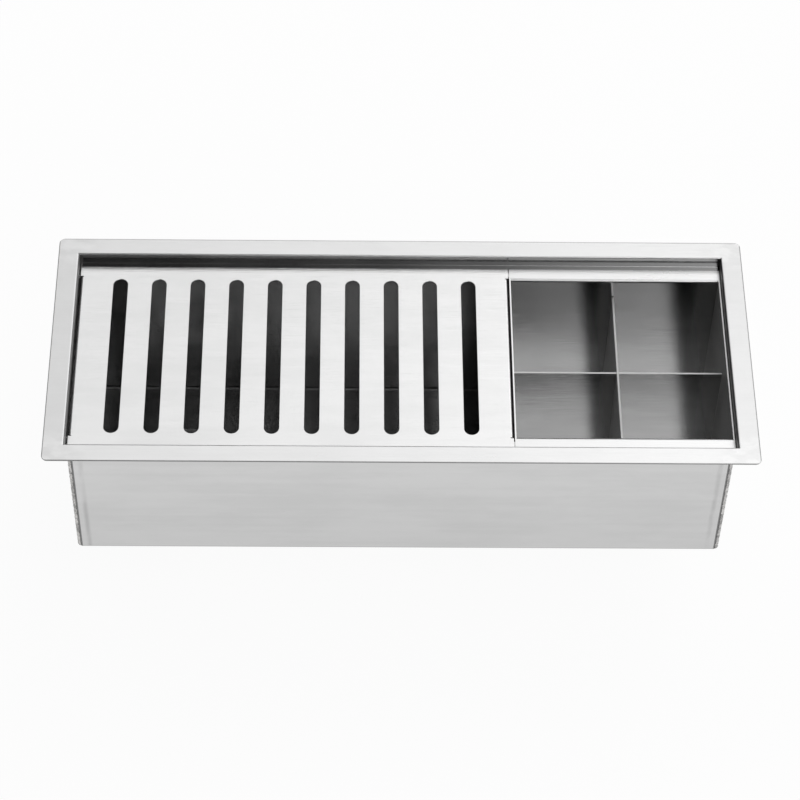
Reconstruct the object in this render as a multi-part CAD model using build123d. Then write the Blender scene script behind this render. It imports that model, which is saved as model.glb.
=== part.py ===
from build123d import *
from math import cos, radians, sin
import os

# Drop-in stainless trough for a worktop. A loose slotted cover lies over the left
# two thirds and a lift-out box with crossed dividers hangs in the right third.
# Lengths are in millimetres. X runs left to right, Y front to back, Z up.
# The origin is the middle of the worktop cut-out, on the worktop's top surface.

# Rim and trough
rim_length = 600.0
rim_width = 242.0
rim_land = 17.5
end_land = 18.2
rim_corner_radius = 5.0
rim_edge_round = 0.35
sheet = 1.2
fold_radius = 0.6
recess_depth = 12.0
ledge_width = 14.7
rail_lip = 7.0
body_height = 173.0
body_corner_radius = 3.0
seal_thickness = 1.5
seal_inset = 3.0
seal_clearance = 0.2

# Slotted cover
cover_sheet = 1.2
cover_side_gap = 5.5
cover_end_gap = 1.5
cover_tab = 0.6
flap_depth = 15.0
flap_side_gap = 2.3
relief_width = 1.0
relief_reach = 0.3
slot_width = 12.7
slot_pitch = 33.8
slot_side_margin = 14.0
slot_end_margin = 34.0
slot_edge_round = 0.3

# Lift-out box and its dividers
box_length = 185.5
box_depth = 150.0
box_sheet = 1.2
box_fold_radius = 1.5
box_seam_gap = 1.0
box_end_gap = 0.7
box_side_gap = 1.8
box_flange_gap = 5.5
divider_sheet = 1.5
divider_drop = 22.0
divider_end_gap = 1.0
divider_corner_cut = 3.0
notch_clearance = 0.3

# Outlet in the floor
drain_from_left = 91.8
dish_radius = 41.0
dish_depth = 3.0
dish_slope = 3.0
drain_hole_radius = 25.0
drain_flange_radius = 37.0
drain_flange_thickness = 1.5
drain_seal_thickness = 1.0
drain_tube_radius = 24.0
drain_tube_wall = 1.5
drain_tube_reach = 28.0
thread_clearance = 0.2
seat_depth = 30.0
seat_thickness = 1.5
seat_hole_radius = 4.0
seat_hole_circle = 13.0
seat_hole_count = 6
gasket_thickness = 3.5
gasket_radius = 36.0
slip_ring_thickness = 1.0
slip_ring_radius = 33.5
lock_nut_radius = 31.0
lock_nut_height = 10.0
lug_reach = 5.0
lug_width = 9.0
lug_count = 6

# Waste tube with a thicker neck inside its coupling nut
tail_radius = 20.0
tail_wall = 1.6
tail_neck_radius = 20.6
tail_neck_reach = 1.0
tail_flange_radius = 23.3
tail_flange_thickness = 2.0
tail_drop = 85.0
tail_washer_thickness = 2.0
tail_washer_clearance = 0.5
slip_nut_radius = 27.5
slip_nut_lip = 3.0
slip_nut_overlap = 10.0
slip_nut_rib_reach = 2.5
slip_nut_rib_width = 5.0
slip_nut_rib_count = 8

# Strainer basket that lifts out of the outlet
basket_wall = 0.8
basket_lip_gap = 0.6
basket_lip_width = 1.6
basket_corner_radius = 3.0
basket_hole_radius = 1.6
basket_hole_rows = 3
basket_hole_directions = 6
basket_floor_hole_circle = 12.5
basket_floor_hole_count = 8
stopper_thickness = 3.0
stopper_gap = 1.0
post_radius = 2.5
post_clearance = 0.1
post_tip = 4.0
pin_clearance = 0.7
knob_radius = 8.0
knob_height = 6.0
knob_round = 2.0

# Clamps on the end walls
worktop_thickness = 20.0
clamp_spacing = 100.0
bracket_width = 22.0
bracket_leg = 13.5
bracket_height = 16.0
bracket_thickness = 2.0
bracket_drop = 16.0
screw_radius = 2.5
screw_length = 30.0
screw_offset = 8.0
screw_clearance = 0.05
screw_head_radius = 4.6
screw_head_height = 4.0
pad_radius = 5.0
pad_height = 4.0
pad_socket_depth = 2.5

# Modelling allowances
overcut = 2.0
match = 0.01

# Levels
rim_under = seal_thickness
rim_top = rim_under + sheet
ledge_top = rim_top - recess_depth
ledge_under = ledge_top - sheet
weld_level = ledge_top - rail_lip
body_under = rim_top - body_height
floor_top = body_under + sheet

# Plan of the trough
opening_x = rim_length / 2 - end_land
opening_y = rim_width / 2 - rim_land
trough_y = opening_y - ledge_width
wall_x = opening_x + sheet
wall_y = trough_y + sheet
bend_radius = body_corner_radius + sheet
wrap_x = wall_x - bend_radius

# Places along the trough
box_right = opening_x - box_end_gap
box_left = box_right - box_length
cover_left = -opening_x + cover_end_gap
cover_right = box_left - box_seam_gap
drain_x = drain_from_left - opening_x


def folded(plane, points, thickness, inner_radius, length):
    """A sheet of one thickness, folded along its middle line and as long as asked."""
    line = FilletPolyline(*points, radius=inner_radius + thickness / 2)
    section = trace(line, line_width=thickness)
    return extrude(plane * section, amount=length / 2, both=True)


def block(x, y, z):
    """A block between two values on each axis."""
    size = [abs(high - low) for low, high in (x, y, z)]
    middle = [(low + high) / 2 for low, high in (x, y, z)]
    return Pos(*middle) * Box(*size)


def ring(outer, inner, top, bottom):
    """A ring about the outlet's axis, or a disc where the inner radius is zero."""
    height = top - bottom
    shape = Cylinder(outer, height)
    if inner > 0:
        shape = shape - Cylinder(inner, height)
    return Pos(drain_x, 0, (top + bottom) / 2) * shape


def turned(points):
    """A closed outline of radius and level, turned about the outlet's axis."""
    outline = make_face(Polyline(*points, close=True))
    return Pos(drain_x, 0, 0) * revolve(Plane.XZ * outline, Axis.Z)


def plate(points, low, high):
    """A flat plate with the outline given in plan."""
    outline = make_face(Polyline(*points, close=True))
    return Pos(0, 0, low) * extrude(outline, amount=high - low)


def rim_outline():
    """The plan of the rim with its rounded outer corners."""
    outline = RectangleRounded(rim_length, rim_width, rim_corner_radius)
    return Pos(0, 0, rim_top) * extrude(outline, amount=-body_height)


def rim_edges(shape, direction, place):
    """The upper and lower outer edges of one side of the rim."""
    found = shape.edges().filter_by(direction)
    return [edge for edge in found if abs(place(edge.center())) < match]


def front_rail():
    """Front rim, recess wall, ledge and short lip, mitred to the end sheets."""
    middle = sheet / 2
    points = [
        (-rim_width / 2, rim_top - middle),
        (-opening_y - middle, rim_top - middle),
        (-opening_y - middle, ledge_top - middle),
        (-trough_y - middle, ledge_top - middle),
        (-trough_y - middle, weld_level),
    ]
    rail = folded(Plane.YZ, points, sheet, fold_radius, rim_length)
    mitre = plate(
        [
            (-rim_length / 2, -rim_width / 2),
            (rim_length / 2, -rim_width / 2),
            (opening_x, -opening_y),
            (opening_x, 0),
            (-opening_x, 0),
            (-opening_x, -opening_y),
        ],
        weld_level,
        rim_top,
    )
    rail = rail & mitre & rim_outline()
    for side in (-1, 1):
        corner = (side * wrap_x, side * rim_length)
        rail = rail - block(corner, (-wall_y, 0), (weld_level, ledge_under))
    edges = rim_edges(rail, Axis.X, lambda point: point.Y + rim_width / 2)
    return fillet(edges, rim_edge_round)


def trough_shell():
    """The trough below the ledges, rounded where its walls and floor meet."""
    outer = block((-wall_x, wall_x), (-wall_y, wall_y), (body_under, ledge_under))
    outer = fillet(outer.edges().filter_by(Axis.Z), bend_radius)
    outer = fillet(outer.faces().sort_by(Axis.Z)[0].edges(), bend_radius)
    high = ledge_under + overcut
    inner = block((-opening_x, opening_x), (-trough_y, trough_y), (floor_top, high))
    inner = fillet(inner.edges().filter_by(Axis.Z), body_corner_radius)
    inner = fillet(inner.faces().sort_by(Axis.Z)[0].edges(), body_corner_radius)
    return outer - inner


def left_end(shell):
    """Left rim and the whole left wall, with the bends at its corners."""
    middle = sheet / 2
    points = [
        (-rim_length / 2, rim_top - middle),
        (-opening_x - middle, rim_top - middle),
        (-opening_x - middle, ledge_under),
    ]
    upper = folded(Plane.XZ, points, sheet, fold_radius, rim_width)
    mitre = plate(
        [
            (-rim_length / 2, -rim_width / 2),
            (-rim_length / 2, rim_width / 2),
            (-opening_x, opening_y),
            (-opening_x, -opening_y),
        ],
        ledge_under,
        rim_top,
    )
    upper = upper & mitre & rim_outline()
    edges = rim_edges(upper, Axis.Y, lambda point: point.X + rim_length / 2)
    upper = fillet(edges, rim_edge_round)
    lower = shell & block((-wall_x, -wrap_x), (-wall_y, wall_y), (body_under, ledge_under))
    return upper + lower


def trough_wrap(shell):
    """Front wall, floor and back wall, with a dished seat for the outlet."""
    wrap = shell & block((-wrap_x, wrap_x), (-wall_y, wall_y), (body_under, weld_level))
    wrap = wrap - ring(dish_radius, 0, floor_top + overcut, body_under - overcut)
    low = floor_top - dish_depth
    dish = turned(
        [
            (dish_radius, floor_top),
            (dish_radius - dish_slope, low),
            (drain_hole_radius, low),
            (drain_hole_radius, low - sheet),
            (dish_radius - dish_slope, low - sheet),
            (dish_radius, body_under),
        ]
    )
    return wrap + dish


def rim_seal():
    """Flat strip between the rim and the worktop."""
    outer = Rectangle(rim_length - 2 * seal_inset, rim_width - 2 * seal_inset)
    spread = sheet + fold_radius + seal_clearance
    inner = Rectangle(2 * (opening_x + spread), 2 * (opening_y + spread))
    return extrude(outer - inner, amount=seal_thickness)


def slotted_cover():
    """Flat plate with full length slots and two ends bent down between the ledges."""
    top = ledge_top + cover_sheet
    half_width = opening_y - cover_side_gap
    flap_y = trough_y - flap_side_gap
    left = cover_left + cover_tab
    right = cover_right - cover_tab
    middle = cover_sheet / 2
    points = [
        (left + middle, top - flap_depth),
        (left + middle, top - middle),
        (right - middle, top - middle),
        (right - middle, top - flap_depth),
    ]
    strip = folded(Plane.XZ, points, cover_sheet, fold_radius, 2 * flap_y)
    cover = strip
    reach = cover_sheet + fold_radius + relief_reach
    for side in (-1, 1):
        inner = side * flap_y
        outer = side * half_width
        notch = side * (flap_y + relief_width)
        cover = cover + block((left + reach, right - reach), (inner, notch), (ledge_top, top))
        cover = cover + block((cover_left, cover_right), (notch, outer), (ledge_top, top))
    length = cover_right - cover_left
    count = int((length - 2 * slot_end_margin) / slot_pitch) + 1
    middle_x = (cover_left + cover_right) / 2
    slot = SlotOverall(2 * (half_width - slot_side_margin), slot_width, rotation=90)
    cutter = extrude(slot, amount=cover_sheet + overcut, both=True)
    for index in range(count):
        x = middle_x + (index - (count - 1) / 2) * slot_pitch
        cover = cover - Pos(x, 0, ledge_top) * cutter
    rims = cover.faces().sort_by(Axis.Z)[-1].inner_wires()
    return fillet([edge for rim in rims for edge in rim.edges()], slot_edge_round)


def box_levels():
    """Top and floor levels of the lift-out box."""
    top = ledge_top + box_sheet
    return top, top - box_depth + box_sheet


def box_wrap():
    """Flanges, front and back walls and floor of the box, folded from one sheet."""
    top, floor = box_levels()
    middle = box_sheet / 2
    wall = trough_y - box_side_gap - middle
    edge = opening_y - box_flange_gap
    points = [
        (-edge, top - middle),
        (-wall, top - middle),
        (-wall, floor - middle),
        (wall, floor - middle),
        (wall, top - middle),
        (edge, top - middle),
    ]
    wrap = folded(Plane.YZ, points, box_sheet, box_fold_radius, box_length)
    return Pos((box_left + box_right) / 2, 0, 0) * wrap


def box_end(wrap, low_x, high_x):
    """End plate that fills the box's section between its folded walls."""
    top, floor = box_levels()
    reach = trough_y - box_side_gap + box_fold_radius
    blank = block((low_x, high_x), (-reach, reach), (floor - box_sheet, top))
    pieces = (blank - wrap).solids()
    return pieces.sort_by(SortBy.VOLUME)[-1]


def divider(half_length):
    """Upright plate that stands on the box's floor, with its lower corners cut off."""
    top, floor = box_levels()
    cut = divider_corner_cut
    high = top - divider_drop
    points = [
        (-half_length, high),
        (-half_length, floor + cut),
        (-half_length + cut, floor),
        (half_length - cut, floor),
        (half_length, floor + cut),
        (half_length, high),
    ]
    outline = make_face(Polyline(*points, close=True))
    return extrude(Plane.XZ * outline, amount=divider_sheet / 2, both=True)


def notch(low, high):
    """Space that the crossing divider takes."""
    half = divider_sheet / 2 + notch_clearance
    return block((-half, half), (-half, half), (low, high))


def long_divider():
    """Left to right divider, notched from its top edge."""
    top, floor = box_levels()
    high = top - divider_drop
    plate_x = box_length / 2 - box_sheet - divider_end_gap
    half_way = (high + floor) / 2 - notch_clearance
    shape = divider(plate_x) - notch(half_way, high + overcut)
    return Pos((box_left + box_right) / 2, 0, 0) * shape


def cross_divider():
    """Front to back divider, notched from its bottom edge."""
    top, floor = box_levels()
    high = top - divider_drop
    plate_y = trough_y - box_side_gap - box_sheet - divider_end_gap
    half_way = (high + floor) / 2 + notch_clearance
    shape = Rot(0, 0, 90) * divider(plate_y) - notch(floor - overcut, half_way)
    return Pos((box_left + box_right) / 2, 0, 0) * shape


def around(shape, radius, count):
    """Copies of a shape, evenly spaced about the outlet's axis."""
    copies = []
    for index in range(count):
        angle = radians(360 * index / count)
        turn = Rot(0, 0, 360 * index / count)
        copies.append(Pos(drain_x + radius * cos(angle), radius * sin(angle), 0) * turn * shape)
    return copies


def drain_levels():
    """Levels of the outlet from the dish downwards."""
    dish_top = floor_top - dish_depth
    dish_under = dish_top - sheet
    flange_top = dish_top + drain_seal_thickness + drain_flange_thickness
    tube_end = dish_under - drain_tube_reach
    return dish_top, dish_under, flange_top, tube_end


def drain_body():
    """Flanged outlet with its threaded tube and the holed seat inside."""
    dish_top, dish_under, flange_top, tube_end = drain_levels()
    bore = drain_tube_radius - drain_tube_wall
    flange_under = flange_top - drain_flange_thickness
    seat_top = flange_top - seat_depth
    body = ring(drain_flange_radius, bore, flange_top, flange_under)
    body = body + ring(drain_tube_radius, bore, flange_under, tube_end)
    seat = ring(bore, post_radius + pin_clearance, seat_top, seat_top - seat_thickness)
    body = body + seat
    hole = Pos(0, 0, seat_top) * Cylinder(seat_hole_radius, 2 * (seat_thickness + overcut))
    for cutter in around(hole, seat_hole_circle, seat_hole_count):
        body = body - cutter
    return body


def lugged_ring(radius, bore, top, bottom, reach, width, count):
    """A nut's body with gripping lugs round it."""
    body = ring(radius, bore, top, bottom)
    root = (radius - bore) / 2
    lug = block((-root, reach), (-width / 2, width / 2), (bottom, top))
    for piece in around(lug, radius, count):
        body = body + piece
    return body


def drain_rings():
    """Seal, gasket, slip ring and lock nut that clamp the outlet to the floor."""
    dish_top, dish_under, flange_top, tube_end = drain_levels()
    bore = drain_tube_radius + thread_clearance
    gasket_under = dish_under - gasket_thickness
    slip_under = gasket_under - slip_ring_thickness
    nut_under = slip_under - lock_nut_height
    seal_top = dish_top + drain_seal_thickness
    return {
        "drain_seal": ring(gasket_radius, drain_hole_radius, seal_top, dish_top),
        "drain_gasket": ring(gasket_radius, bore, dish_under, gasket_under),
        "drain_slip_ring": ring(slip_ring_radius, bore, gasket_under, slip_under),
        "drain_lock_nut": lugged_ring(
            lock_nut_radius, bore, slip_under, nut_under, lug_reach, lug_width, lug_count
        ),
    }


def waste_parts():
    """Tailpiece, its washer and the coupling nut under the outlet."""
    dish_top, dish_under, flange_top, tube_end = drain_levels()
    bore = tail_radius - tail_wall
    washer_under = tube_end - tail_washer_thickness
    flange_under = washer_under - tail_flange_thickness
    nut_under = flange_under - slip_nut_lip
    neck_under = nut_under - tail_neck_reach
    tail = ring(tail_flange_radius, bore, washer_under, flange_under)
    tail = tail + ring(tail_neck_radius, bore, flange_under, neck_under)
    tail = tail + ring(tail_radius, bore, neck_under, body_under - tail_drop)
    nut = lugged_ring(
        slip_nut_radius,
        drain_tube_radius + thread_clearance,
        tube_end + slip_nut_overlap,
        flange_under,
        slip_nut_rib_reach,
        slip_nut_rib_width,
        slip_nut_rib_count,
    )
    lip_bore = tail_neck_radius + thread_clearance
    lip = ring(slip_nut_radius, lip_bore, flange_under, nut_under)
    return {
        "tailpiece": tail,
        "tailpiece_washer": ring(
            tail_flange_radius, bore + tail_washer_clearance, tube_end, washer_under
        ),
        "slip_nut": nut + lip,
    }


def strainer_basket(cup_top, cup_under):
    """Perforated cup with a lip, which stands on the stopper."""
    lip = drain_tube_radius - drain_tube_wall - basket_lip_gap
    outer = lip - basket_lip_width
    height = cup_top - cup_under
    cup = Cylinder(outer, height)
    cup = fillet(cup.edges().sort_by(Axis.Z)[0], basket_corner_radius)
    hollow = Cylinder(outer - basket_wall, height)
    hollow = fillet(hollow.edges().sort_by(Axis.Z)[0], basket_corner_radius - basket_wall)
    cup = cup - Pos(0, 0, basket_wall) * hollow
    brim = Cylinder(lip, basket_wall) - Cylinder(outer - basket_wall, basket_wall)
    cup = cup + Pos(0, 0, (height - basket_wall) / 2) * brim
    step = (height - 2 * basket_corner_radius) / (basket_hole_rows + 1)
    for row in range(basket_hole_rows):
        level = basket_corner_radius - height / 2 + step * (row + 1)
        for index in range(basket_hole_directions):
            angle = 180 * (index + row % 2 / 2) / basket_hole_directions
            drill = Rot(0, 0, angle) * Rot(0, 90, 0) * Cylinder(basket_hole_radius, 2 * lip)
            cup = cup - Pos(0, 0, level) * drill
    cup = Pos(drain_x, 0, (cup_top + cup_under) / 2) * cup
    depth = 2 * (basket_wall + overcut)
    drill = Pos(0, 0, cup_under) * Cylinder(basket_hole_radius, depth)
    for cutter in around(drill, basket_floor_hole_circle, basket_floor_hole_count):
        cup = cup - cutter
    post_hole = Cylinder(post_radius + post_clearance, depth)
    return cup - Pos(drain_x, 0, cup_under) * post_hole


def strainer_parts():
    """Basket, stopper and knob that lift out together."""
    dish_top, dish_under, flange_top, tube_end = drain_levels()
    bore = drain_tube_radius - drain_tube_wall
    seat_top = flange_top - seat_depth
    cup_under = seat_top + stopper_thickness
    knob_top = flange_top
    post = turned(
        [
            (0, seat_top - post_tip),
            (post_radius, seat_top - post_tip),
            (post_radius, knob_top - knob_height),
            (knob_radius, knob_top - knob_height),
            (knob_radius, knob_top - knob_round),
            (knob_radius - knob_round, knob_top),
            (0, knob_top),
        ]
    )
    stopper = ring(bore - stopper_gap, post_radius + post_clearance, cup_under, seat_top)
    return {
        "strainer_basket": strainer_basket(flange_top, cup_under),
        "strainer_stopper": stopper,
        "strainer_knob": post,
    }


def clamp_parts():
    """Brackets on the end walls, their screws and the pads that press the worktop."""
    pad_top = -worktop_thickness
    pad_under = pad_top - pad_height
    screw_top = pad_under + pad_socket_depth
    leg_top = pad_top - bracket_drop
    leg_under = leg_top - bracket_thickness
    half = bracket_width / 2
    screw_bottom = screw_top - screw_length
    angle = block(
        (wall_x, wall_x + bracket_thickness),
        (-half, half),
        (leg_under, leg_under - bracket_height + bracket_thickness),
    )
    angle = angle + block((wall_x, wall_x + bracket_leg), (-half, half), (leg_under, leg_top))
    x = wall_x + screw_offset
    hole = Cylinder(screw_radius + screw_clearance, 2 * (bracket_thickness + overcut))
    angle = angle - Pos(x, 0, leg_top) * hole
    shank = Pos(x, 0, (screw_top + screw_bottom) / 2) * Cylinder(screw_radius, screw_length)
    hexagon = RegularPolygon(radius=screw_head_radius, side_count=6)
    head = extrude(hexagon, amount=screw_head_height)
    screw = shank + Pos(x, 0, screw_bottom - screw_head_height) * head
    pad = Pos(x, 0, (pad_top + pad_under) / 2) * Cylinder(pad_radius, pad_height)
    socket = Cylinder(screw_radius + screw_clearance, pad_socket_depth)
    pad = pad - Pos(x, 0, screw_top - pad_socket_depth / 2) * socket
    groups = {"clamp_brackets": [], "clamp_screws": [], "clamp_pads": []}
    for turn in (0, 180):
        for side in (-1, 1):
            place = Rot(0, 0, turn) * Pos(0, side * clamp_spacing / 2, 0)
            groups["clamp_brackets"].append(place * angle)
            groups["clamp_screws"].append(place * screw)
            groups["clamp_pads"].append(place * pad)
    return {name: Compound(children=pieces) for name, pieces in groups.items()}


shell = trough_shell()
rail = front_rail()
end = left_end(shell)
box = box_wrap()
parts = {
    "front_rail": rail,
    "back_rail": mirror(rail, about=Plane.XZ),
    "left_end": end,
    "right_end": mirror(end, about=Plane.YZ),
    "trough_wrap": trough_wrap(shell),
    "rim_seal": rim_seal(),
    "slotted_cover": slotted_cover(),
    "box_wrap": box,
    "box_left_end": box_end(box, box_left, box_left + box_sheet),
    "box_right_end": box_end(box, box_right - box_sheet, box_right),
    "long_divider": long_divider(),
    "cross_divider": cross_divider(),
    "drain_body": drain_body(),
    **drain_rings(),
    **waste_parts(),
    **strainer_parts(),
    **clamp_parts(),
}

os.makedirs("parts", exist_ok=True)
for name, part in parts.items():
    export_step(part, f"parts/{name}.step")
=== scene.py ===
import math

import bmesh
import bpy
from mathutils import Matrix, Vector


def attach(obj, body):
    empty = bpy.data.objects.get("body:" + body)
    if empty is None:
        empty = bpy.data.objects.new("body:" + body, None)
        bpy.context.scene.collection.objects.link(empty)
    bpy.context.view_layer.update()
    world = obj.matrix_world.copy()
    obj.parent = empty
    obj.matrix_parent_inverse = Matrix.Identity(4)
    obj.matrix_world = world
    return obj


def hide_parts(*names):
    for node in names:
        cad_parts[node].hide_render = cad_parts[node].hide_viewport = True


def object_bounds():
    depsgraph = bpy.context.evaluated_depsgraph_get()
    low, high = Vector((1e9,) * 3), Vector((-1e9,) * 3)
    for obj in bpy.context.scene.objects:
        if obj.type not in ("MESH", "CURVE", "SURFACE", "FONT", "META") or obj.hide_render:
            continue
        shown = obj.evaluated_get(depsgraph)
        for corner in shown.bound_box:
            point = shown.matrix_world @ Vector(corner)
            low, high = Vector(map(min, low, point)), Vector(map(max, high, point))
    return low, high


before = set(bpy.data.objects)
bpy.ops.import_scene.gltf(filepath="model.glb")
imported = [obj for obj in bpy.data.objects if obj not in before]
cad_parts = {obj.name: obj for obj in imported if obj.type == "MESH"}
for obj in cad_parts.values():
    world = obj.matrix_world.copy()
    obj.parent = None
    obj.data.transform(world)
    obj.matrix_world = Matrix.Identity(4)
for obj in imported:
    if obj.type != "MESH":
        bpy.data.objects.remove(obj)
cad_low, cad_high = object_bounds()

# Levels and places of the part's source, in metres
floor_level = cad_low.z
drain_x = -0.190
rim_top = 0.0027
rim_length = 0.600
rim_width = 0.242
opening_x = 0.2818
opening_y = 0.1035
ledge_top = -0.0093
trough_y = 0.0888
wall_x = 0.2830
wall_y = 0.0900
bend_x = 0.2788
bend_y = 0.0858
bend_radius = 0.0042
bend_level = -0.1661
floor_top = -0.1691
cover_top = -0.0081
divider_top = -0.0301

# Clamps on the end walls, as in the source
clamp_places = (-0.050, 0.050)
screw_offset = 0.008
bracket_half_width = 0.011

# Vertices closer together than this are one
weld_distance = 0.000003


class Value:
    """One output of a shader node. An expression on values adds its Math nodes."""

    def __init__(self, tree, socket):
        self.tree = tree
        self.socket = socket

    def math(self, operation, left, right):
        return self.tree.node("ShaderNodeMath", {"operation": operation}, {0: left, 1: right})

    def __add__(self, other):
        return self.math("ADD", self, other)

    def __radd__(self, other):
        return self.math("ADD", other, self)

    def __sub__(self, other):
        return self.math("SUBTRACT", self, other)

    def __rsub__(self, other):
        return self.math("SUBTRACT", other, self)

    def __mul__(self, other):
        return self.math("MULTIPLY", self, other)

    def __rmul__(self, other):
        return self.math("MULTIPLY", other, self)


class Tree:
    """The shader nodes of one material, or of the world."""

    def __init__(self, owner):
        owner.use_nodes = True
        self.owner = owner
        self.nodes = owner.node_tree.nodes
        self.links = owner.node_tree.links
        self.nodes.clear()

    def node(self, kind, settings=None, sockets=None, output=0):
        """Adds a node: its settings first, then the values or links of its sockets."""
        made = self.nodes.new(kind)
        for name, value in (settings or {}).items():
            setattr(made, name, value)
        for name, value in (sockets or {}).items():
            if isinstance(value, Value):
                self.links.new(value.socket, made.inputs[name])
            else:
                made.inputs[name].default_value = value
        return Value(self, made.outputs[output] if len(made.outputs) else None)

    def coordinate(self, axis):
        """One of the Object coordinates."""
        point = self.node("ShaderNodeTexCoord", output="Object")
        return self.node("ShaderNodeSeparateXYZ", {}, {0: point}, axis)

    def distance(self, axis):
        """How far a point is from the middle of the part on one axis."""
        return self.node("ShaderNodeMath", {"operation": "ABSOLUTE"}, {0: self.coordinate(axis)})

    def noise(self, cells, detail=2.0, roughness=0.5):
        """Noise on Object coordinates with a number of cells per metre on each axis."""
        point = self.node("ShaderNodeTexCoord", output="Object")
        place = self.node("ShaderNodeVectorMath", {"operation": "MULTIPLY"}, {0: point, 1: cells})
        sockets = {"Vector": place, "Scale": 1.0, "Detail": detail, "Roughness": roughness}
        return self.node("ShaderNodeTexNoise", {}, sockets)

    def spread(self, value, low, high, new_low=0.0, new_high=1.0):
        """A value that runs from low to high, carried smoothly to a new range."""
        sockets = {0: value, 1: low, 2: high, 3: new_low, 4: new_high}
        return self.node("ShaderNodeMapRange", {"interpolation_type": "SMOOTHSTEP"}, sockets)

    def blend(self, mask, low, high):
        """Mix of two colours."""
        return self.node("ShaderNodeMix", {"data_type": "RGBA"}, {0: mask, 6: low, 7: high}, 2)

    def bump(self, height, strength, depth):
        """A normal from a height pattern, depth in metres."""
        sockets = {"Strength": strength, "Distance": depth, "Height": height}
        return self.node("ShaderNodeBump", {}, sockets)

    def surface(self, colour, rough, normal=None, metallic=0.0):
        """Principled shader and the output it feeds."""
        sockets = {"Base Color": colour, "Metallic": metallic, "Roughness": rough}
        if normal is not None:
            sockets["Normal"] = normal
        shader = self.node("ShaderNodeBsdfPrincipled", {}, sockets)
        self.node("ShaderNodeOutputMaterial", {}, {"Surface": shader})
        return self.owner


def grey(level, warmth=0.0):
    return (level * (1 + warmth), level, level * (1 - warmth), 1.0)


def new_tree(name):
    return Tree(bpy.data.materials.new(name))


def between(mask, low, high):
    return low + mask * (high - low)


# Cells per metre of the grain on sheets brushed along each axis
along_x = (30.0, 1100.0, 1100.0)
along_y = (1100.0, 30.0, 1100.0)
along_z = (1100.0, 1100.0, 30.0)
streak_share = 0.1

# Base tone of the sheets that the trough, cover and box are folded from
sheet_tone = 0.62


def brushing(tree, grain):
    """Fine brushed lines, and the longer streaks among them."""
    lines = tree.noise(grain)
    streaks = tree.noise([cells * streak_share for cells in grain], detail=3.0)
    return lines, streaks


def sheet_steel(tree, brushed, tone, gloss, depth, share=1.0, dulling_and_painted_shade=None, dulled_and_shaded_tone=0.2):
    """Stainless sheet with its brushing, soft smudges and, where asked, a darker place: dulled
    finish and painted shade.
    """
    lines, streaks = brushed
    smudges = tree.noise((10.0, 26.0, 26.0), detail=4.0, roughness=0.6)
    mask = 0.12 * lines + 0.30 * streaks + 0.58 * smudges
    mask = tree.spread(mask, 0.36, 0.62)
    darkest = 0.93
    colour = tree.blend(mask, grey(tone * darkest), grey(tone))
    # Darkens towards the given grey: painted shade in recesses, folds and bends, with some real
    # dulling.
    if dulling_and_painted_shade is not None:
        colour = tree.blend(dulling_and_painted_shade, colour, grey(dulled_and_shaded_tone))
    rough = gloss + 0.08 * (streaks - 0.5) + 0.10 * (smudges - 0.5)
    bump = tree.bump(share * (lines - 0.5), strength=1.0, depth=depth)
    return tree.surface(colour, rough, bump, metallic=1.0)


def even_steel(name, grain, tone, gloss, depth):
    tree = new_tree(name)
    return sheet_steel(tree, brushing(tree, grain), tone, gloss, depth)


def stepped_steel(name, grain, tone, glosses, depth, levels, shares=(1.0, 1.0)):
    """Sheet steel whose gloss and brushing change between two heights."""
    tree = new_tree(name)
    height = tree.coordinate("Z")
    gloss = tree.spread(height, *levels, *glosses)
    share = tree.spread(height, *levels, *shares)
    return sheet_steel(tree, brushing(tree, grain), tone, gloss, depth, share)


def on_flange(tree):
    """1 on the rim's flange, fading to 0 down its fold."""
    return tree.spread(tree.coordinate("Z"), 0.0, rim_top - 0.0005)


def rim_edge_painted_shade(tree, axis, half):
    """The rim's outer edge, darkened to a grey line as painted shade."""
    start, full = half - 0.0011, half - 0.0003
    return tree.spread(tree.distance(axis), start, full)


def lower_bend_painted_shade(tree, axis, wall):
    """The lower bend of the trough, darkened as painted shade at the foot of the walls."""
    inner, outer = wall - 0.0024, wall - 0.0016
    strongest = 0.8
    across = tree.spread(tree.distance(axis), inner, outer)
    height = tree.coordinate("Z")
    return across * tree.spread(height, bend_level - 0.0012, bend_level, strongest, 0.0)


def corner_grinding(tree):
    """Patchy grinding where the rim's corners were welded and dressed flush."""
    strongest = 0.14
    along = tree.spread(tree.distance("X"), opening_x - 0.030, opening_x + 0.004)
    across = tree.spread(tree.distance("Y"), opening_y - 0.022, opening_y + 0.004)
    patches = tree.noise((70.0, 110.0, 70.0), detail=3.0)
    return along * across * tree.spread(patches, 0.38, 0.62, 0.0, strongest)


# Depth of the brushing on the rim's sheets, and its share below the flange
rim_grain_depth = 0.00008
recess_share = 0.2


def rail_steel():
    """Front and back sheets, brushed along the length, smoother inside the recess, with painted
    shade on the recess walls and along the rim's outer edge.
    """
    tree = new_tree("rail_steel")
    flange = on_flange(tree)
    recess_gloss, flange_gloss = 0.15, 0.30
    # Painted shade: the recess walls and ledges are darkened.
    recess_painted_shade = 0.62
    gloss = between(flange, recess_gloss, flange_gloss)
    share = between(flange, recess_share, 1.0)
    # Painted shade: a grey line along the rim's outer edge.
    edge = rim_edge_painted_shade(tree, "Y", rim_width / 2)
    # Recess walls take painted shade; on the flange the edge line is painted shade and the corner
    # grinding is real.
    dulling_and_painted_shade = between(flange, recess_painted_shade, edge + corner_grinding(tree))
    brushed = brushing(tree, along_x)
    return sheet_steel(tree, brushed, sheet_tone, gloss, rim_grain_depth, share, dulling_and_painted_shade, 0.26)


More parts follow.
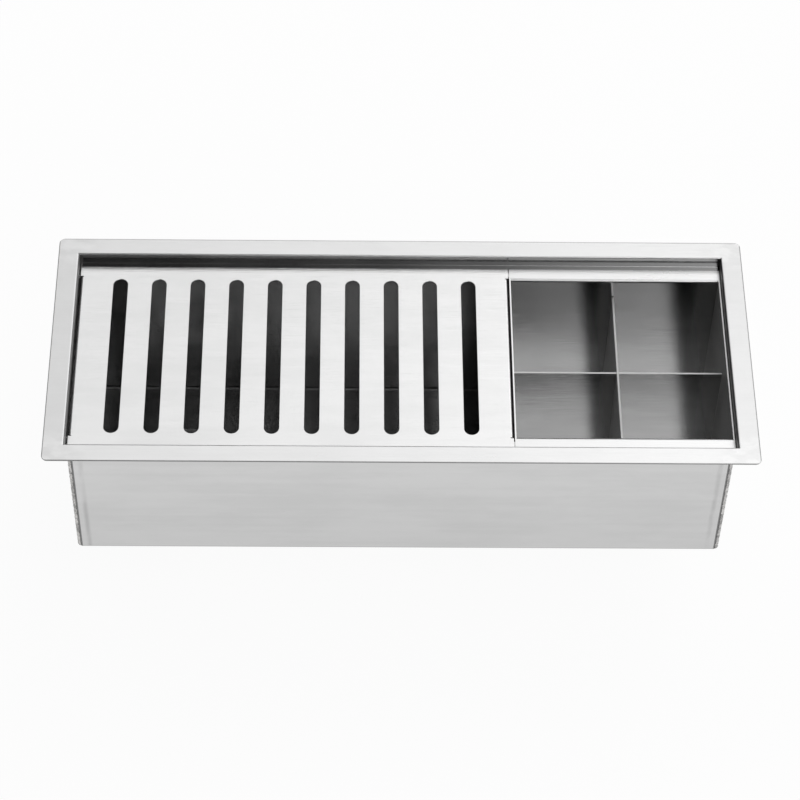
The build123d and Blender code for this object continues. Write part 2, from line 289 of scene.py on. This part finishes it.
def end_steel():
    """End sheets: the rim is ground along with the rails, the wall is brushed across. Painted shade
    darkens the flanges away from the corners, the fold and walls below the flange top, the recess
    walls most, the outer edge and the lower bend.
    """
    tree = new_tree("end_steel")
    flange = on_flange(tree)
    crossways = brushing(tree, along_y)
    ground = brushing(tree, along_x)
    brushed = [between(flange, wall, rim) for wall, rim in zip(crossways, ground)]
    wall_gloss, rim_gloss, corner_gloss = 0.50, 0.33, 0.30
    end_rim_painted_shade, wall_painted_shade = 0.095, 0.30
    corner = tree.spread(tree.distance("Y"), opening_y - 0.018, opening_y + 0.004)
    gloss = between(flange, wall_gloss, between(corner, rim_gloss, corner_gloss))
    share = between(flange, recess_share, 1.0)
    # Painted shade: a grey line along the rim's outer edge.
    edge = rim_edge_painted_shade(tree, "X", rim_length / 2)
    # Painted shade: the recess side of the end walls is darkened most.
    recess_shade = tree.spread(tree.distance("X"), opening_x + 0.0002, wall_x + 0.0006, 0.7, 0.0)
    # Painted shade on the lower bend.
    bend_shade = lower_bend_painted_shade(tree, "X", wall_x)
    top = tree.spread(tree.coordinate("Z"), rim_top - 0.00035, rim_top - 0.00005)
    # The end flanges are darkened away from the corners as painted shade; the corner grinding is
    # real.
    rim = edge + between(corner, end_rim_painted_shade, 0.0) + corner_grinding(tree)
    # Below the flange top the fold and walls are darkened as painted shade, and so is the lower
    # bend.
    dulling_and_painted_shade = between(top, wall_painted_shade + recess_shade * 0.9, rim) + bend_shade * (1 - recess_shade)
    return sheet_steel(tree, brushed, sheet_tone, gloss, rim_grain_depth, share, dulling_and_painted_shade, 0.20)


def corner_band(tree):
    """Faint cloudy darker band a few millimetres in from the trough's corners."""
    strongest = 0.30
    along = tree.distance("X")
    near = tree.spread(along, bend_x - 0.0095, bend_x - 0.0065)
    past = tree.spread(along, bend_x - 0.0060, bend_x - 0.0030, 1.0, 0.0)
    cloud = tree.spread(tree.noise((60.0, 60.0, 25.0), detail=3.0), 0.35, 0.65, 0.15, 1.0)
    return strongest * near * past * cloud


def wrap_steel():
    """Trough sheet: brushed outside; painted shade darkens the inside, the dish, the walls towards
    the bottom and the lower bends; a faint cloudy band lies in from the corners.
    """
    tree = new_tree("wrap_steel")
    height = tree.coordinate("Z")
    # The inside, the dish and the lower walls are darkened as painted shade.
    inside_painted_shade, dish_painted_shade, low_painted_shade = 0.30, 0.5, 0.13
    outside = tree.spread(tree.distance("Y"), trough_y + 0.0001, wall_y - 0.0001)
    dish_shade = tree.spread(height, floor_top - 0.0006, floor_top - 0.0002, dish_painted_shade, 0.0)
    lower_shade = tree.spread(height, bend_level, -0.015, low_painted_shade, 0.0)
    dulling_and_painted_shade = between(outside, inside_painted_shade + dish_shade, corner_band(tree) + lower_shade)
    # Painted shade: the lower bends go fully to the darker grey.
    dulling_and_painted_shade = between(lower_bend_painted_shade(tree, "Y", wall_y), dulling_and_painted_shade, 1.0)
    brushed = brushing(tree, along_x)
    gloss, depth = 0.16, 0.00003
    return sheet_steel(tree, brushed, sheet_tone, gloss, depth, dulling_and_painted_shade=dulling_and_painted_shade, dulled_and_shaded_tone=0.22)


def cover_steel():
    return even_steel("cover_steel", along_x, sheet_tone, gloss=0.24, depth=0.00010)


def box_steel():
    """Folded strip of the box: satin flanges, glossy walls and floor."""
    levels = (cover_top - 0.0022, cover_top - 0.0008)
    glosses = (0.07, 0.28)
    shares = (1.0, 1.2)
    depth = 0.00007
    return stepped_steel("box_steel", along_x, sheet_tone, glosses, depth, levels, shares)


def box_end_steel():
    """End plates of the box: rougher walls darkened as painted shade, with the top edge glossier and
    lighter as a painted highlight.
    """
    tree = new_tree("box_end_steel")
    # Painted shade: the walls below the top edge are darkened.
    wall_painted_shade = 0.22
    levels = (cover_top - 0.0006, cover_top - 0.0001)
    dulling_and_painted_shade = tree.spread(tree.coordinate("Z"), *levels, wall_painted_shade, 0.0)
    edge_gloss, wall_gloss = 0.30, 0.60
    gloss = between(dulling_and_painted_shade * (1 / wall_painted_shade), edge_gloss, wall_gloss)
    brushed = brushing(tree, along_z)
    # The tone above the sheets' own is a painted highlight on the top edge.
    tone, depth = 0.66, 0.00002
    return sheet_steel(tree, brushed, tone, gloss, depth, dulling_and_painted_shade=dulling_and_painted_shade, dulled_and_shaded_tone=0.08)


def long_divider_steel():
    """Left to right divider: glossy faces and a dull cut edge on top."""
    levels = (divider_top - 0.0004, divider_top - 0.0001)
    tone, depth = 0.60, 0.00007
    glosses = (0.07, 0.60)
    return stepped_steel("long_divider_steel", along_x, tone, glosses, depth, levels)


def cross_divider_steel():
    return even_steel("cross_divider_steel", along_z, tone=0.53, gloss=0.60, depth=0.00002)


def outlet_steel():
    every_way = (700.0, 700.0, 700.0)
    return even_steel("outlet_steel", every_way, tone=0.64, gloss=0.22, depth=0.00002)


def weld_steel(name, scaled, clean):
    """Unpolished weld metal with dark scale between the ripples."""
    tree = new_tree(name)
    scale = tree.noise((900.0, 900.0, 900.0), detail=3.0, roughness=0.65)
    patches = tree.noise((160.0, 160.0, 160.0))
    mask = tree.spread(0.6 * scale + 0.4 * patches, 0.38, 0.62)
    colour = tree.blend(mask, grey(scaled), grey(clean, warmth=0.02))
    bump = tree.bump(scale, strength=0.8, depth=0.0001)
    return tree.surface(colour, 0.62 - 0.2 * mask, bump, metallic=1.0)


def plated_steel():
    """Zinc plating with a faint spangle."""
    tree = new_tree("plated_steel")
    spangle = tree.noise((420.0, 420.0, 420.0), detail=3.0)
    haze = tree.spread(tree.noise((90.0, 90.0, 90.0)), 0.35, 0.65)
    colour = tree.blend(haze, (0.62, 0.64, 0.66, 1.0), (0.72, 0.73, 0.72, 1.0))
    bump = tree.bump(spangle, strength=0.3, depth=0.00003)
    return tree.surface(colour, 0.32 + 0.16 * (spangle - 0.5), bump, metallic=1.0)


def black_rubber():
    """Matt rubber with a pale bloom in places."""
    tree = new_tree("black_rubber")
    grains = tree.noise((2500.0, 2500.0, 2500.0))
    bloom = tree.noise((60.0, 60.0, 60.0), detail=3.0)
    colour = tree.blend(tree.spread(bloom, 0.35, 0.7), grey(0.018), grey(0.034))
    bump = tree.bump(grains, strength=0.4, depth=0.00003)
    return tree.surface(colour, 0.62 + 0.2 * bloom, bump)


def pressed_fibre():
    """Brown fibre board with fine flecks."""
    tree = new_tree("pressed_fibre")
    flecks = tree.noise((1100.0, 1100.0, 1100.0), detail=4.0, roughness=0.7)
    mask = tree.spread(flecks, 0.35, 0.65)
    colour = tree.blend(mask, (0.36, 0.26, 0.17, 1.0), (0.48, 0.36, 0.24, 1.0))
    return tree.surface(colour, 0.6 + 0.2 * flecks)


def moulded(name, colour, darker, rough):
    """Moulded plastic with a fine skin and slow flow marks."""
    tree = new_tree(name)
    skin = tree.noise((1600.0, 1600.0, 1600.0))
    flow = tree.noise((45.0, 45.0, 20.0), detail=3.0)
    shade = tree.blend(tree.spread(flow, 0.3, 0.7), darker, colour)
    bump = tree.bump(skin, strength=0.3, depth=0.00003)
    return tree.surface(shade, rough + 0.1 * skin, bump)


plated = plated_steel()
weld_metal = weld_steel("weld_steel", scaled=0.24, clean=0.68)
# Near-black weld metal: real weld beads, darkened as painted shade for the shadowed recess corners.
weld_in_painted_shade = weld_steel("weld_in_painted_shade", scaled=0.03, clean=0.14)
outlet_metal = outlet_steel()
nut_plastic = moulded("nut_plastic", grey(0.064), grey(0.052), rough=0.38)
pad_plastic = moulded("pad_plastic", grey(0.085), grey(0.070), rough=0.45)


def dress(node, material):
    """Gives a carried-over part its finish."""
    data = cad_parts[node].data
    data.materials.clear()
    data.materials.append(material)


def dress_all():
    rails = rail_steel()
    ends = end_steel()
    box_ends = box_end_steel()
    rubber = black_rubber()
    finishes = {
        "front_rail": rails,
        "back_rail": rails,
        "left_end": ends,
        "right_end": ends,
        "trough_wrap": wrap_steel(),
        "rim_seal": rubber,
        "slotted_cover": cover_steel(),
        "box_wrap": box_steel(),
        "box_left_end": box_ends,
        "box_right_end": box_ends,
        "long_divider": long_divider_steel(),
        "cross_divider": cross_divider_steel(),
        "drain_body": outlet_metal,
        "drain_seal": rubber,
        "drain_gasket": rubber,
        "drain_slip_ring": pressed_fibre(),
        "drain_lock_nut": nut_plastic,
        "tailpiece": moulded("tail_plastic", grey(0.80), grey(0.76), rough=0.34),
        "tailpiece_washer": rubber,
        "slip_nut": nut_plastic,
        "strainer_basket": outlet_metal,
        "strainer_stopper": rubber,
        "strainer_knob": outlet_metal,
        "clamp_brackets": plated,
        "clamp_screws": plated,
        "clamp_pads": pad_plastic,
    }
    for node, material in finishes.items():
        dress(node, material)


def finish_piece(shape, name, material, stands_for=()):
    """Makes an object of a finished mesh and lets it ride on the trough."""
    sharp_angle = math.radians(40)
    bmesh.ops.remove_doubles(shape, verts=shape.verts, dist=weld_distance)
    bmesh.ops.recalc_face_normals(shape, faces=shape.faces)
    data = bpy.data.meshes.new(name)
    shape.to_mesh(data)
    shape.free()
    data.shade_smooth()
    data.set_sharp_from_angle(angle=sharp_angle)
    data.materials.append(material)
    piece = bpy.data.objects.new(name, data)
    bpy.context.scene.collection.objects.link(piece)
    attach(piece, "trough")
    if stands_for:
        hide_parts(*stands_for)


def new_vertices(geometry):
    """The vertices among what an extrusion made."""
    return [item for item in geometry if isinstance(item, bmesh.types.BMVert)]


def shift_mesh(shape, place):
    bmesh.ops.translate(shape, verts=shape.verts, vec=place)


def join(shape, other):
    """Adds a second mesh to the first and frees it."""
    data = bpy.data.meshes.new("joined")
    other.to_mesh(data)
    other.free()
    shape.from_mesh(data)
    bpy.data.meshes.remove(data)


def lathe(shape, outline, steps):
    """Turns a closed outline of radius and level full circle about the upright axis."""
    corners = [shape.verts.new((radius, 0.0, level)) for radius, level in outline]
    sides = [shape.edges.new((corners[i - 1], corners[i])) for i in range(len(corners))]
    bmesh.ops.spin(
        shape,
        geom=corners + sides,
        cent=(0, 0, 0),
        axis=(0, 0, 1),
        angle=2 * math.pi,
        steps=steps,
        use_merge=True,
    )
    bmesh.ops.remove_doubles(shape, verts=shape.verts, dist=weld_distance)


def thread(shape, root, crest, pitch, low, turns, steps):
    """A ridge that winds up the upright axis, closed at both ends."""
    half = pitch * 0.40
    crest_half = half * 0.2
    outline = [(root, low - half), (crest, low - crest_half)]
    outline += [(crest, low + crest_half), (root, low + half)]
    start = shape.faces.new([shape.verts.new((radius, 0.0, level)) for radius, level in outline])
    bmesh.ops.spin(
        shape,
        geom=[start],
        cent=(0, 0, 0),
        axis=(0, 0, 1),
        dvec=(0, 0, pitch / steps),
        angle=2 * math.pi * turns,
        steps=int(steps * turns),
    )


def round_edges(shape, width, left_sharp=()):
    """Rounds every edge that turns by more than an angle, but for those left sharp."""
    sharp_angle = math.radians(35)
    turning = []
    for edge in shape.edges:
        if edge.calc_face_angle(0.0) > sharp_angle and edge not in left_sharp:
            turning.append(edge)
    bmesh.ops.bevel(
        shape,
        geom=turning,
        offset=width,
        offset_type="OFFSET",
        segments=2,
        profile=0.5,
        affect="EDGES",
        material=-1,
        clamp_overlap=True,
    )


def wall_facets(shape, towards, share, steps, radius, low, high):
    """A number of facets of a turned wall, about one direction."""
    nearly = 0.995
    limit = math.cos(share * math.pi / steps)
    facets = []
    for facet in shape.faces:
        place = facet.calc_center_median()
        flat = Vector((place.x, place.y, 0.0))
        on_wall = flat.length > radius * nearly and low < place.z < high
        if on_wall and flat.normalized().dot(towards) > limit:
            facets.append(facet)
    return facets


def gripped_nut(outline, steps, radius, low, high, count, share, reach, rounding):
    """A turned nut with grips pushed out of its wall, each as wide as a number of facets."""
    shape = bmesh.new()
    lathe(shape, outline, steps)
    turn = Matrix.Rotation(math.pi / steps, 3, "Z")
    bmesh.ops.rotate(shape, cent=(0, 0, 0), matrix=turn, verts=shape.verts)
    covered = []
    for index in range(count):
        middle = 2 * math.pi * index / count
        towards = Vector((math.cos(middle), math.sin(middle), 0.0))
        facets = wall_facets(shape, towards, share, steps, radius, low, high)
        grown = bmesh.ops.extrude_face_region(shape, geom=facets)["geom"]
        bmesh.ops.translate(shape, verts=new_vertices(grown), vec=towards * reach)
        covered += facets
    roots = [edge for edge in shape.edges if len(edge.link_faces) > 2]
    bmesh.ops.delete(shape, geom=covered, context="FACES")
    round_edges(shape, rounding, roots)
    shift_mesh(shape, (drain_x, 0, 0))
    return shape


def lock_nut():
    """Moulded nut with six rounded lugs."""
    low, high = -0.1878, -0.1778
    bore, radius = 0.0242, 0.0310
    lugs, lug_facets, lug_reach = 6, 5, 0.0050
    steps, rounding = 108, 0.0006
    outline = [(bore, low), (radius, low), (radius, high), (bore, high)]
    shape = gripped_nut(
        outline, steps, radius, low, high, lugs, lug_facets, lug_reach, rounding
    )
    finish_piece(shape, "moulded_lock_nut", nut_plastic, ["drain_lock_nut"])


def coupling_nut():
    """Moulded nut with eight ribs and a lip under the tube's flange."""
    low, step, high = -0.2083, -0.2053, -0.1913
    lip_bore, bore, radius = 0.0208, 0.0242, 0.0275
    ribs, rib_facets, rib_reach = 8, 3, 0.0025
    steps, rounding = 104, 0.0005
    outline = [(lip_bore, low), (radius, low), (radius, step), (radius, high)]
    outline += [(bore, high), (bore, step), (lip_bore, step)]
    shape = gripped_nut(
        outline, steps, radius, step, high, ribs, rib_facets, rib_reach, rounding
    )
    finish_piece(shape, "moulded_coupling_nut", nut_plastic, ["slip_nut"])


def outlet_thread():
    """The thread that shows on the outlet's tube between the two nuts."""
    root, crest, pitch, low = 0.0239, 0.0247, 0.0023, -0.1918
    shape = bmesh.new()
    thread(shape, root, crest, pitch, low, turns=2.0, steps=72)
    shift_mesh(shape, (drain_x, 0, 0))
    finish_piece(shape, "outlet_thread", outlet_metal)


def screw_head(low, high):
    """Hexagon head with rounded edges."""
    radius = 0.0046
    head = bmesh.new()
    bmesh.ops.create_circle(head, cap_ends=True, segments=6, radius=radius)
    quarter = Matrix.Rotation(math.pi / 2, 3, "Z")
    bmesh.ops.rotate(head, cent=(0, 0, 0), matrix=quarter, verts=head.verts)
    grown = bmesh.ops.extrude_face_region(head, geom=head.faces[:])["geom"]
    bmesh.ops.translate(head, verts=new_vertices(grown), vec=(0, 0, high - low))
    bmesh.ops.translate(head, verts=head.verts, vec=(0, 0, low))
    bmesh.ops.recalc_face_normals(head, faces=head.faces)
    round_edges(head, 0.00035)
    return head


def screw(shape):
    """A clamp screw about the upright axis: threaded shank and hexagon head."""
    low, head_top, high = -0.0555, -0.0515, -0.0215
    core, tip, tip_height = 0.00208, 0.00158, 0.0004
    shank_low = head_top - 0.0005
    outline = [(0.0, shank_low), (core, shank_low), (core, high - tip_height)]
    outline += [(tip, high), (0.0, high)]
    lathe(shape, outline, 24)
    root, crest, pitch = 0.0020, 0.0025, 0.0008
    thread(shape, root, crest, pitch, head_top + pitch, turns=35.0, steps=16)
    join(shape, screw_head(low, head_top))


def pad(shape):
    """A swivelling pad with a ridged face and a socket for the screw."""
    top, low, socket = -0.0200, -0.0240, -0.0215
    groove, edge = top - 0.0004, top - 0.0006
    radius, low_radius, bore = 0.0050, 0.0042, 0.00255
    outline = [(0.0, top), (0.0014, top), (0.0017, groove), (0.0020, top)]
    outline += [(0.0029, top), (0.0032, groove), (0.0035, top), (0.0044, top)]
    outline += [(radius, edge), (radius, low + 0.0010), (low_radius, low)]
    outline += [(bore, low), (bore, socket), (0.0, socket)]
    lathe(shape, outline, 40)


def at_clamps(form, name, material, stands_for):
    """The same small part at each of the four clamps."""
    shape = bmesh.new()
    for side in (-1, 1):
        for place in clamp_places:
            one = bmesh.new()
            form(one)
            shift_mesh(one, (side * (wall_x + screw_offset), place, 0))
            join(shape, one)
    finish_piece(shape, name, material, [stands_for])


# Width, height and ripple length of each kind of weld bead
corner_bead = (0.0021, 0.0007, 0.0016)
recess_bead = (0.0010, 0.0008, 0.0014)
ledge_bead = (0.00115, 0.0006, 0.0015)
bracket_bead = (0.0012, 0.0010, 0.0015)


def ripple(index, seed):
    """Swelling of a weld bead at one of its rings."""
    swell = (0.80, 1.0, 0.93)[index % 3]
    swell += 0.09 * math.sin(seed + index * 1.7)
    return swell + 0.05 * math.sin(index * 0.61 + seed)


def bead(shape, start, end, out, width, height, pitch, seed):
    """A weld bead of overlapping ripples along a line, flattened towards the sheet."""
    start = Vector(start)
    along = Vector(end) - start
    count = 3 * max(2, round(along.length / pitch))
    size, last_size = 0.55, 0.5
    rings = bmesh.new()
    bmesh.ops.create_circle(rings, cap_ends=True, segments=12, radius=size)
    edges = rings.edges[:]
    for index in range(1, count + 1):
        swell = ripple(index, seed) if index < count else last_size
        grown = bmesh.ops.extrude_edge_only(rings, edges=edges)["geom"]
        verts = new_vertices(grown)
        edges = [
            item for item in grown if isinstance(item, bmesh.types.BMEdge) and item.is_boundary
        ]
        bmesh.ops.translate(rings, verts=verts, vec=(0, 0, 1.0 / count))
        bmesh.ops.scale(rings, verts=verts, vec=(swell / size, swell / size, 1.0))
        size = swell
    bmesh.ops.contextual_create(rings, geom=edges)
    out = Vector(out).normalized()
    side = along.normalized().cross(out)
    turn = Matrix((side * width, out * height, along)).transposed().to_4x4()
    bmesh.ops.transform(rings, matrix=Matrix.Translation(start) @ turn, verts=rings.verts)
    join(shape, rings)


def corner_welds():
    """Rough welds down the four outer corners of the trough."""
    high, low = -0.0118, bend_level - 0.0010
    reach = bend_radius * math.sqrt(0.5)
    seed = 0.0
    shape = bmesh.new()
    for x in (-1, 1):
        for y in (-1, 1):
            seed += 2.3
            place = (x * (bend_x + reach), y * (bend_y + reach))
            bead(shape, (*place, high), (*place, low), (x, y, 0), *corner_bead, seed)
    finish_piece(shape, "corner_welds", weld_metal)


def recess_welds():
    """Welds that close the recess: down each corner and along each end of a ledge, in near-black
    metal that is painted shade for the gaps there.
    """
    high = 0.0008
    overlap = 0.0001
    ledge_front = trough_y + 0.0004
    seed = 1.0
    shape = bmesh.new()
    for x in (-1, 1):
        inset = 0.0009 if x < 0 else 0.0002
        ledge_end = x * (opening_x - inset)
        for y in (-1, 1):
            seed += 1.9
            corner = (x * (opening_x - overlap), y * (opening_y - overlap))
            top = (*corner, high)
            low = (*corner, ledge_top)
            bead(shape, top, low, (-x, -y, 0), *recess_bead, seed)
            back = (ledge_end, y * opening_y, ledge_top)
            front = (ledge_end, y * ledge_front, ledge_top)
            bead(shape, back, front, (0, 0, 1), *ledge_bead, seed + 0.7)
    finish_piece(shape, "recess_welds", weld_in_painted_shade)


def bracket_welds():
    """Fillet welds down both sides of each clamp bracket."""
    high, low = -0.0372, -0.0514
    seed = 4.0
    shape = bmesh.new()
    for x in (-1, 1):
        for middle in clamp_places:
            for side in (-1, 1):
                seed += 1.3
                place = (x * wall_x, middle + side * bracket_half_width)
                out = (x, side, 0)
                bead(shape, (*place, high), (*place, low), out, *bracket_bead, seed)
    finish_piece(shape, "bracket_welds", weld_metal)


def floor_paint():
    """Pale paint that a camera, metal and glass see as even white."""
    white_share = 0.94
    tree = new_tree("studio_floor")
    mottle = tree.noise((3.0, 3.0, 3.0))
    colour = tree.blend(mottle, grey(0.90), grey(0.92))
    matt = tree.node("ShaderNodeBsdfDiffuse", {}, {"Color": colour})
    glow = tree.node("ShaderNodeEmission", {}, {"Color": grey(1.0), "Strength": 1.0})
    rays = tree.node("ShaderNodeLightPath", output="Is Camera Ray")
    gloss = tree.node("ShaderNodeLightPath", output="Is Glossy Ray")
    through = tree.node("ShaderNodeLightPath", output="Is Transmission Ray")
    share = white_share * (rays + gloss + through)
    mixed = tree.node("ShaderNodeMixShader", {}, {0: share, 1: matt, 2: glow})
    tree.node("ShaderNodeOutputMaterial", {}, {"Surface": mixed})
    return tree.owner


def studio_floor():
    """Plain pale floor under the part's lowest point."""
    shape = bmesh.new()
    bmesh.ops.create_circle(shape, cap_ends=True, segments=96, radius=14.0)
    shift_mesh(shape, (0, 0, floor_level))
    data = bpy.data.meshes.new("studio_floor")
    shape.to_mesh(data)
    shape.free()
    data.materials.append(floor_paint())
    floor = bpy.data.objects.new("studio_floor", data)
    bpy.context.scene.collection.objects.link(floor)


def studio_world():
    """Soft surroundings: dim at the left, paler at the right, brightest beside the camera."""
    dim, pale, brightest = 0.05, 0.90, 2.3
    camera_side = Vector((0.0, -0.62, 0.78)).normalized()
    world = bpy.data.worlds.new("studio")
    bpy.context.scene.world = world
    tree = Tree(world)
    direction = tree.node("ShaderNodeTexCoord", output="Generated")
    facing = tree.node(
        "ShaderNodeVectorMath", {"operation": "DOT_PRODUCT"}, {0: direction, 1: camera_side}, "Value"
    )
    across = tree.node("ShaderNodeSeparateXYZ", {}, {0: direction}, "X")
    room = tree.spread(across, -0.12, 0.32, dim, pale)
    camera_wall = tree.spread(across, 0.00, 0.17, dim, brightest)
    near_camera = tree.spread(facing, 0.66, 0.93)
    level = room + near_camera * (camera_wall - room)
    back = tree.node("ShaderNodeBackground", {}, {"Color": grey(1.0), "Strength": level})
    tree.node("ShaderNodeOutputWorld", {}, {"Surface": back})


def overhead_softbox():
    """A large rectangular lamp above and behind the part, turned towards it."""
    place = Vector((0.22, 1.25, 2.10))
    aim = Vector((-0.08, 0.0, 0.0))
    data = bpy.data.lights.new("overhead_softbox", "AREA")
    data.shape = "RECTANGLE"
    data.size = 3.9
    data.size_y = 1.8
    data.energy = 27.0
    lamp = bpy.data.objects.new("overhead_softbox", data)
    lamp.location = place
    lamp.rotation_euler = (aim - place).to_track_quat("-Z", "Y").to_euler()
    bpy.context.scene.collection.objects.link(lamp)


def photo_camera():
    """Camera at the photograph's viewing angle."""
    place = Vector((-0.041858, -1.525519, 1.923215))
    pitch = math.radians(52.5652)
    yaw = math.radians(1.5779)
    roll = math.radians(1.5875)
    look = Vector(
        (math.sin(yaw) * math.cos(pitch), math.cos(yaw) * math.cos(pitch), -math.sin(pitch))
    )
    level = Vector((math.cos(yaw), -math.sin(yaw), 0.0))
    rise = level.cross(look)
    right = level * math.cos(roll) + rise * math.sin(roll)
    up = rise * math.cos(roll) - level * math.sin(roll)
    turn = Matrix((right, up, -look)).transposed()
    data = bpy.data.cameras.new("camera")
    data.sensor_width = 36.0
    data.lens = 128.7711
    data.clip_start = 0.05
    data.clip_end = 60.0
    camera = bpy.data.objects.new("camera", data)
    camera.matrix_world = Matrix.Translation(place) @ turn.to_4x4()
    bpy.context.scene.collection.objects.link(camera)
    bpy.context.scene.camera = camera


def plain_view():
    bpy.context.scene.view_settings.view_transform = "Standard"


dress_all()
lock_nut()
coupling_nut()
outlet_thread()
at_clamps(screw, "threaded_clamp_screws", plated, "clamp_screws")
at_clamps(pad, "ridged_clamp_pads", pad_plastic, "clamp_pads")
corner_welds()
recess_welds()
bracket_welds()
studio_floor()
studio_world()
overhead_softbox()
photo_camera()
plain_view()
